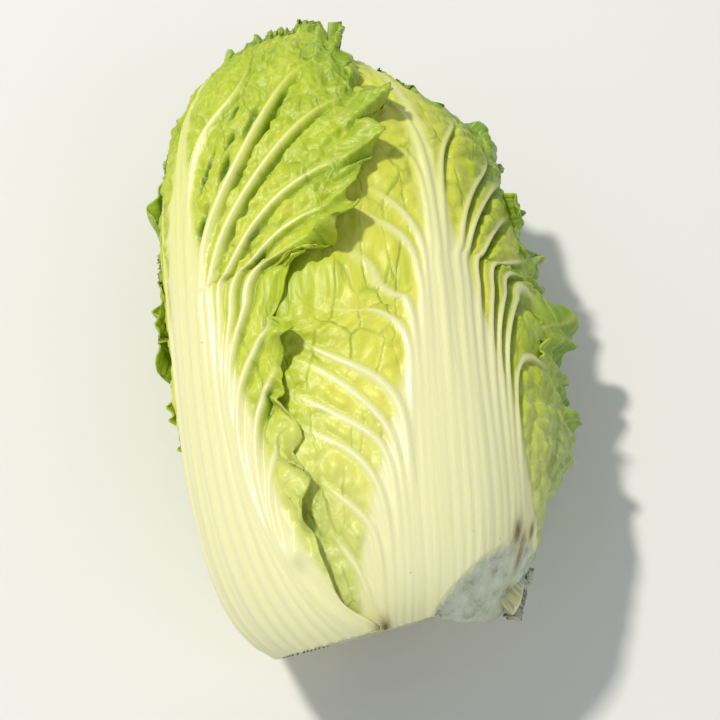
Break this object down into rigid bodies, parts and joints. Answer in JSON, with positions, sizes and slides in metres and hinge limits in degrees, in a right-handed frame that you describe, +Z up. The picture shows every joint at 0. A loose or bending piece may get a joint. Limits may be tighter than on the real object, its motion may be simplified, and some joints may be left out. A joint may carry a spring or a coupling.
{
  "type": "napa cabbage",
  "caption": "Head of napa cabbage lying on its side: crinkled green outer leaves with broad white ribs wrapped round a pale heart, trimmed at the cut stem.",
  "frame": {"origin": "on the flat underside of the back leaf, below the middle of the head, on the plane that it rests on", "axes": "+Y along the head from the cut stem to the leafy crown, +Z up, +X to the right seen from above with the crown away"},
  "size_m": [0.1919, 0.3129, 0.1428],
  "materials": {
    "outer_leaf": "waxy leaf, satin sheen, creamy white rib",
    "inner_leaf": "moist pale yellow leaf, satin sheen",
    "heart": "moist pale yellow leaf bundle",
    "stem": "cut moist stem tissue, slightly browned"
  },
  "bodies": {
    "root": {"back_leaf": "outer_leaf", "lower_left_leaf": "outer_leaf", "lower_right_leaf": "outer_leaf", "left_leaf": "outer_leaf", "right_leaf": "outer_leaf", "inner_leaf_1": "inner_leaf", "inner_leaf_2": "inner_leaf", "inner_leaf_3": "inner_leaf", "inner_leaf_4": "inner_leaf", "inner_leaf_5": "inner_leaf", "inner_leaf_6": "inner_leaf", "heart": "heart", "cut_stem": "stem"}
  },
  "joints": []
}
